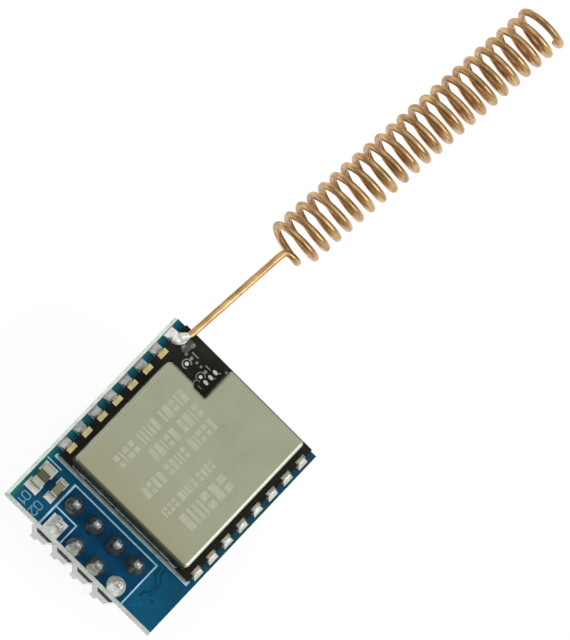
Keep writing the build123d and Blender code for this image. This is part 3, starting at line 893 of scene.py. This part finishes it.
def can_seam(low, high):
    """Thin uneven solder seam along the foot of the near wall, in near-white solder that also paints the
    reflected light line there.

    Height over the board = 0.28 mm times one less the way out, squared, with a wave of three
    sines along the wall of a tenth of that.
    """
    along, out = np.meshgrid(np.linspace(0, 1, 90), np.linspace(0, 1, 7), indexing="ij")
    wave = np.sin(31 * along) + np.sin(73 * along + 1) + np.sin(117 * along + 2)
    height = (0.28 + 0.03 * wave) * MM * (1 - out) ** 2
    reach = (0.1 + 0.012 * wave) * MM
    end_gap, under_wall, lift = 0.45 * MM, 0.02 * MM, 0.01 * MM
    x = low.x + end_gap + along * (high.x - low.x - 2 * end_gap)
    y, z = low.y + under_wall - out * reach, low.z + lift + height
    piece = put_piece("can_seam", pillow(x, y, z, low.z), "Bright_solder")


# Left, right, far end and near end of each row of blocks
ETCHED_ROWS = [(-4.55, -3.25, 14.9, 5.4), (-2.7, -1.4, 14.9, 7.6), (-0.85, 0.35, 14.9, 5.1)]
ETCHED_ROWS += [(1.75, 2.65, 12.2, 5.4), (3.35, 5.1, 12.1, 5.4)]


def etched_rows(top):
    """Plain etched blocks on the can's top, in rows where the real can carries its print.

    A block is a whole one, one over another, or a narrow one, drawn at random with its width.
    After a few blocks comes a wider gap.
    """
    # Width of each kind, and the parts that it has over the row's height, as shares of that height
    kinds = [(0.4, [(0, 1)]), (0.42, [(0, 0.42), (0.6, 1)]), (0.17, [(0, 1)])]
    low, high = top - 0.01 * MM, top + 0.004 * MM
    widest, gap, word_gap, shortest_word = 0.5, 0.16, 0.3, 4
    draws = np.random.default_rng(21)
    shells = []
    for left, right, far, near in ETCHED_ROWS:
        tall = right - left
        place, since = far, 0
        while place - widest * tall > near:
            share, parts = kinds[draws.integers(3)]
            wide = share * tall * draws.uniform(0.85, 1.15)
            for start, end in parts:
                side, other = left + start * tall, left + end * tall
                shells.append(patch(side, place, other, place - wide, low, high))
            since += 1
            place -= wide + gap * tall
            if since >= shortest_word and draws.uniform() > 0.5:
                place, since = place - word_gap * tall, 0
    put_flat("etched_marks", shells, "Etched_marks")


class RADIO_OT_can(bpy.types.Operator):
    """Press the shield can with its rounded edges and tack it down with solder"""

    bl_idname = "radio.can"
    bl_label = "Shield can"

    def execute(self, context):
        low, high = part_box("shield_can")
        notch_x, notch_y = low.x + 4.65 * MM, high.y - 3.38 * MM
        step, ledge = 0.25 * MM, 1.34 * MM
        corners = [(low.x, low.y), (high.x, low.y), (high.x, high.y), (notch_x, high.y)]
        corners += [(notch_x, notch_y - step), (notch_x - ledge, notch_y - step)]
        corners += [(notch_x - ledge - step, notch_y), (low.x, notch_y)]
        radii = np.array([0.5, 0.5, 0.5, 0.4, 0.12, 0.12, 0.3, 0.5]) * MM
        edge, hem, rim = 0.3 * MM, 0.02 * MM, 0.03 * MM
        angles = np.linspace(0, np.pi / 2, 9)
        bend = np.column_stack([edge * (1 - np.cos(angles)), high.z - edge + edge * np.sin(angles)])
        walls = [[0, low.z], [0, low.z + hem], [0, high.z - edge - hem]]
        profile = np.vstack([walls, bend, [edge + rim, high.z]])
        shell = carried_profile(round_outline(corners, radii, 9), profile)
        piece = put_piece("can_shell", shell, "Can_metal")
        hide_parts("shield_can")
        dress("Solder", "can_solder")
        can_seam(low, high)
        etched_rows(high.z)
        return {"FINISHED"}


def flux_residue(low):
    """Dull flux left beside the antenna's solder: a flat patch, with a few lighter blotches on it."""
    stain = [(-6.5, 18.75, 0.46, 1.5)]
    blotches = [(-6.13, 19.15, 0.2, 1.25), (-6.06, 18.15, 0.15, 1.1), (-6.72, 18.5, 0.14, 1.6)]
    for name, thickness, spots in (("flux_patch", 0.006, stain), ("flux_blotches", 0.012, blotches)):
        put_flat(name, marks(low, thickness * MM, discs=spots), name)


class RADIO_OT_notch_marks(bpy.types.Operator):
    """Set the bare test pads and marks in the can's notch"""

    bl_idname = "radio.notch_marks"
    bl_label = "Pads in the notch"

    def execute(self, context):
        low = top_of("module_board")
        dots = [(-5.46, 18.22, 0.17), (-4.84, 18.26, 0.13), (-4.31, 18.28, 0.13), (-3.71, 18.22, 0.17)]
        dots += [(-2.3, 19.54, 0.14)]
        thick, thin = 0.03 * MM, 0.012 * MM
        piece = put_flat("notch_dots", marks(low, thick, discs=dots), "Dull_tin")
        rings = np.array([(-5.43, 17.56), (-3.71, 17.59)])
        pads = [(*rings[0], 0.19), (*rings[1], 0.17)]
        pads += [(-3.02, y, 0.28, 0.6) for y in (18.83, 18.2, 17.56)]
        piece = put_flat("notch_pads", marks(low, thick, discs=pads), "Bright_solder")
        ring_radius = 0.42
        arc = round_places(np.linspace(0.5, FULL_TURN - 0.9, 26)) * ring_radius
        lines = [(arc + rings[0], 0.13), (arc + rings[1], 0.1), ([(-5.8, 18.66), (-5.0, 18.66)], 0.13)]
        lines += [([(-4.1, 18.66), (-3.5, 18.66)], 0.13), ([(-3.35, 16.86), (-2.9, 16.86)], 0.12)]
        lines += [([(-3.85, 17.3), (-3.85, 16.75)], 0.1), ([(-2.85, 18.87), (-2.6, 19.15)], 0.12)]
        lines += [([(-2.85, 18.25), (-2.6, 18.5)], 0.1)]
        put_flat("notch_print", marks(low, thin, lines), "Faint_print")
        flux_residue(low)
        return {"FINISHED"}


class RADIO_OT_hidden_parts(bpy.types.Operator):
    """Finish the parts that sit under the can"""

    bl_idname = "radio.hidden_parts"
    bl_label = "Parts under the can"

    def execute(self, context):
        dress("Black_plastic", "radio_chip", "antenna_switch")
        dress("Solder", "radio_chip_lands", "antenna_switch_leads")
        dress("Gilding", "crystal_lid")
        dress("Dark_ceramic", "crystal_base")
        dress("Pale_ceramic", "matching_coils")
        dress("Tan_ceramic", "chip_capacitors_left", "chip_capacitors_right")
        return {"FINISHED"}


def wire_middle(sizes):
    """Middle of the wire: tail, knee, straight lead, bend and helix, softened by a moving average.

    A point of the helix at a turn = the start of its axis, plus the spacing times the turn
    along the axis, plus the radius times the sine of the turn's angle across it, plus the
    radius times the cosine upwards. Upwards leans back by the turns' cant. The first half turn
    has a smaller radius and is lowered, so that both circles touch at the bottom.
    """
    board_low, board_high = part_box("module_board")
    pad_y = board_high.y - 1.43 * MM
    height = top_of("castellation_plating") + sizes.wire / 2
    tail = np.array([board_low.x + 0.32 * MM, pad_y - 0.15 * MM, height])
    knee = np.array([board_low.x + 0.86 * MM, pad_y + 0.78 * MM, height])
    lead = np.array([np.sin(sizes.lead_lean), np.cos(sizes.lead_lean), 0])
    along = np.array([np.sin(sizes.coil_lean), np.cos(sizes.coil_lean), 0])
    across = np.array([along[1], -along[0], 0])
    upward = np.array([0, 0, 1]) - np.tan(sizes.cant) * along
    coil_start = knee + sizes.lead * lead
    full = (sizes.outside - sizes.wire) / 2
    first = sizes.first_radius
    start = np.arcsin(sizes.bend / first)
    axis_start = coil_start + (full - first - first * np.cos(start)) * upward
    angle = np.linspace(0, np.pi / 2, 8)[:, None]
    bend = coil_start + (sizes.bend - sizes.bend * np.cos(angle)) * across
    bend = bend + (sizes.bend * (np.sin(angle) - 1) + sizes.spacing * start / FULL_TURN) * along
    points_a_turn = 60
    turn = np.linspace(start / FULL_TURN, sizes.turns, int(sizes.turns * points_a_turn))[:, None]
    early = turn < 0.5
    radius = np.where(early, first, full)
    lowered = np.where(early, full - first, 0)
    helix = axis_start + sizes.spacing * turn * along
    helix = helix + radius * np.sin(FULL_TURN * turn) * across
    helix = helix + (radius * np.cos(FULL_TURN * turn) - lowered) * upward
    rough = np.vstack([tail, knee, bend, helix])
    gaps = np.linalg.norm(np.diff(rough, axis=0), axis=1)
    rough = rough[np.concatenate([[True], gaps > SAME_PLACE])]
    return softened(rough), axis_start, along


def softened(rough):
    """Path at even steps, each point the average of its neighbours with the weights of a bell curve.

    Every eighth point is kept, and both ends.
    """
    reached = lengths_along(rough)
    step, spread, kept_every = 0.04 * MM, 6, 8
    even = np.arange(0, reached[-1], step)
    line = np.stack([np.interp(even, reached, rough[:, axis]) for axis in range(3)], axis=1)
    reach = 3 * spread
    kernel = np.exp(-0.5 * (np.arange(-reach, reach + 1) / spread) ** 2)
    kernel /= kernel.sum()
    padded = np.pad(line, ((reach, reach), (0, 0)), mode="reflect", reflect_type="odd")
    soft = np.stack([np.convolve(padded[:, axis], kernel, mode="valid") for axis in range(3)], axis=1)
    last = len(soft) - 1
    kept = np.concatenate([[0, 1], np.arange(2, last - 1, kept_every), [last - 1, last]])
    return soft[np.unique(kept)]


def wire_skin(path, radius, sides, reference):
    """Round skin along a path, one row for each point of the path.

    The first spoke is the reference less its share along the path, made one long, and the
    second is the path's direction crossed with the first. A point is the path's point plus the
    radius times the cosine of its angle on the first spoke and times its sine on the second.
    """
    travel = one_long(np.gradient(path, axis=0))
    first = one_long(reference - np.sum(reference * travel, axis=1, keepdims=True) * travel)
    second = np.cross(travel, first)
    spokes = round_places(even_angles(sides))
    ring = spokes[:, :1] * first[:, None] + spokes[:, 1:] * second[:, None]
    return path[:, None] + radius[:, None, None] * ring, spokes


def tail_solder():
    """Lumpy solder over the wire's tail.

    The height at a place is the softened largest of several domes: each dome's height is its
    own height times the root of one less the squared distance from its middle, counted in its
    radius. The outline is an oval round them, and the height falls to it over the last part.
    """
    base = top_of("castellation_plating")
    # Place, radius and height of each dome
    domes = [(-7.68, 18.42, 0.52, 0.8), (-7.45, 18.85, 0.5, 0.95), (-7.2, 19.2, 0.42, 0.88)]
    domes += [(-7.75, 18.75, 0.42, 0.6), (-7.4, 18.3, 0.35, 0.55)]
    dome_x, dome_y, dome_radius, dome_height = np.array(domes).T * MM
    middle_x, middle_y = -7.45 * MM, 18.75 * MM
    share, angle = np.meshgrid(np.linspace(0.001, 1, 26), even_angles(56), indexing="ij")
    reach_x = np.where(np.cos(angle) > 0, 0.62, 0.5) * MM
    reach_y, skew = 0.82 * MM, 0.22 * MM
    x = middle_x + share * reach_x * np.cos(angle) + share * skew * np.sin(angle)
    y = middle_y + share * reach_y * np.sin(angle)
    away = np.hypot(x[..., None] - dome_x, y[..., None] - dome_y) / dome_radius
    dome = dome_height * np.sqrt(np.clip(1 - away**2, 0, 1))
    height = np.sum(dome**5, axis=-1) ** 0.2
    shoulder, thinnest = 0.18, 0.12 * MM
    rim = np.clip((1 - share) / shoulder, 0, 1)
    height = (height + thinnest) * np.sqrt(rim * (2 - rim))
    points = np.stack([x, y, base + height], axis=-1)
    piece = put_piece("tail_solder", ring_shell(points), "Tail_solder")
    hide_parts("antenna_solder")


class RADIO_OT_antenna(bpy.types.Operator):
    """Wind the copper wire of the antenna and solder its tail to the last land"""

    bl_idname = "radio.antenna"
    bl_label = "Spring antenna"

    def execute(self, context):
        sizes = settings().antenna
        path, axis_start, along = wire_middle(sizes)
        lengths = lengths_along(path)
        ends = np.minimum(lengths, lengths[-1] - lengths)
        rounding = 0.06 * MM
        shrink = np.sqrt(1 - np.clip(1 - ends / rounding, 0, 1) ** 2)
        radius = sizes.wire / 2 - rounding + rounding * shrink
        from_axis = path - axis_start
        reference = from_axis - (from_axis @ along)[:, None] * along
        skin, spokes = wire_skin(path, radius, sizes.sides, reference)
        place = np.empty(skin.shape)
        place[..., :2] = spokes
        place[..., 2] = lengths[:, None] / MM
        attribute = ("wire_place", place.reshape(-1, 3))
        wire = put_piece("antenna_wire", ring_shell(skin), "Copper_wire", attribute=attribute)
        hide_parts("spring_antenna")
        tail_solder()
        return {"FINISHED"}


def studio_sky(looks):
    """Light from around: a plain share plus soft round lobes.

    A lobe grows from nothing to its strength, eased, while the direction's dot product with
    the lobe's own direction goes from its outer to its inner value.
    """
    right, above = (0.83, 0.1, 0.55), (0.03, 0.24, 0.97)
    lobes = [
        (above, 0.45, 0.97, looks.overhead),
        (right, 0.7, 0.96, looks.panel),
        (right, 0.97, 0.993, looks.spots),
        ((0.58, 0.1, 0.81), 0.98, 0.996, looks.spots),
        ((-0.75, 0.2, 0.63), 0.5, 0.95, looks.left),
    ]
    world = bpy.data.worlds.new("Studio")
    tree = empty_tree(world)
    direction = shader_node(tree, "TexCoord").outputs["Generated"]
    total = looks.plain
    for toward, outer, inner, strength in lobes:
        facing = vector_math(tree, "DOT_PRODUCT", direction, toward)["Value"]
        total = math_node(tree, "ADD", eased(tree, facing, outer, inner, strength), total)
    light = shader_node(tree, "Background", {"Color": total, "Strength": looks.sky})
    shader_node(tree, "OutputWorld", {"Surface": light.outputs[0]})
    return world


def plain_floor(looks):
    """White floor just under the pins: shown white to the camera, with a faint shadow left in."""
    gap, half, white_part = 0.2 * MM, 1.2, 0.92
    height = CAD_BOX[0].z - gap
    corners = [(-half, -half, height), (half, -half, height), (half, half, height), (-half, half, height)]
    mesh = bpy.data.meshes.new("Floor")
    mesh.from_pydata(corners, [], [[0, 1, 2, 3]])
    floor = placed("Floor", mesh)
    made = bpy.data.materials.new("Plain_floor")
    tree = empty_tree(made)
    rays = shader_node(tree, "LightPath").outputs
    seen = math_node(tree, "MAXIMUM", rays["Is Camera Ray"], rays["Is Glossy Ray"])
    seen = math_node(tree, "MAXIMUM", seen, rays["Is Transmission Ray"])
    white_share = math_node(tree, "MULTIPLY", seen, white_part)
    diffuse = shader_node(tree, "BsdfDiffuse", {"Color": (*looks.floor, 1)}).outputs[0]
    glow = shader_node(tree, "Emission", {"Strength": 1.0}).outputs[0]
    mix = shader_node(tree, "MixShader", {"Fac": white_share, 1: diffuse, 2: glow})
    shader_node(tree, "OutputMaterial", {"Surface": mix.outputs[0]})
    mesh.materials.append(made)


def soft_lamp(name, watts, size, place):
    """Square soft light aimed at the middle of the part."""
    data = bpy.data.lights.new(name, "AREA")
    data.energy = watts
    data.size = size
    lamp = placed(name, data)
    middle = (CAD_BOX[0] + CAD_BOX[1]) / 2
    lamp.location = place
    lamp.rotation_mode = "QUATERNION"
    lamp.rotation_quaternion = (middle - lamp.location).to_track_quat("-Z", "Y")
    lamp.visible_glossy = False


class RADIO_OT_stage(bpy.types.Operator):
    """Set up the camera, the plain floor and the soft light"""

    bl_idname = "radio.stage"
    bl_label = "Stage"

    def execute(self, context):
        looks = settings().stage
        scene = context.scene
        camera = placed("Camera", bpy.data.cameras.new("Camera"))
        camera.data.lens = looks.lens
        camera.data.sensor_width = 36
        camera.data.clip_start = 0.01
        right = np.array([0.70497189, 0.66720421, 0.24052686])
        down = np.array([0.70454835, -0.69773484, -0.12952882])
        into = np.array([0.08140179, 0.26077698, -0.96196108])
        turned_to = Matrix(np.column_stack([right, -down, -into]).tolist())
        camera.matrix_world = Matrix.Translation(looks.camera) @ turned_to.to_4x4()
        scene.camera = camera
        plain_floor(looks)
        soft_lamp("Key", looks.key, size=0.3, place=(0.42, 0.1, 0.28))
        soft_lamp("Fill", looks.fill, size=0.5, place=(-0.34, 0.16, 0.4))
        scene.world = studio_sky(looks)
        scene.view_settings.view_transform = "Standard"
        return {"FINISHED"}


class RADIO_PT_panel(bpy.types.Panel):
    """Lists the pieces of the board"""

    bl_idname = "RADIO_PT_panel"
    bl_label = "Radio board"
    bl_space_type = "VIEW_3D"
    bl_region_type = "UI"
    bl_category = "Radio board"

    def draw(self, context):
        for operator in OPERATORS:
            self.layout.operator(operator.bl_idname)
        for group in ("boards", "metals", "antenna", "stage"):
            part = getattr(settings(), group)
            box = self.layout.box()
            for name in part.__annotations__:
                box.prop(part, name)


GROUPS = (BoardLooks, MetalLooks, AntennaSizes, StageLooks, RadioBoardSettings)
OPERATORS = (
    RADIO_OT_boards, RADIO_OT_print, RADIO_OT_castellations, RADIO_OT_header, RADIO_OT_capacitors,
    RADIO_OT_can, RADIO_OT_notch_marks, RADIO_OT_hidden_parts, RADIO_OT_antenna, RADIO_OT_stage,
)


def register():
    for made in (*GROUPS, *OPERATORS, RADIO_PT_panel):
        bpy.utils.register_class(made)
    bpy.types.Scene.radio_board = PointerProperty(type=RadioBoardSettings)


def unregister():
    del bpy.types.Scene.radio_board
    for made in reversed((*GROUPS, *OPERATORS, RADIO_PT_panel)):
        bpy.utils.unregister_class(made)


def main():
    register()
    for operator in OPERATORS:
        group, name = operator.bl_idname.split(".")
        getattr(getattr(bpy.ops, group), name)()


if __name__ == "__main__":
    main()
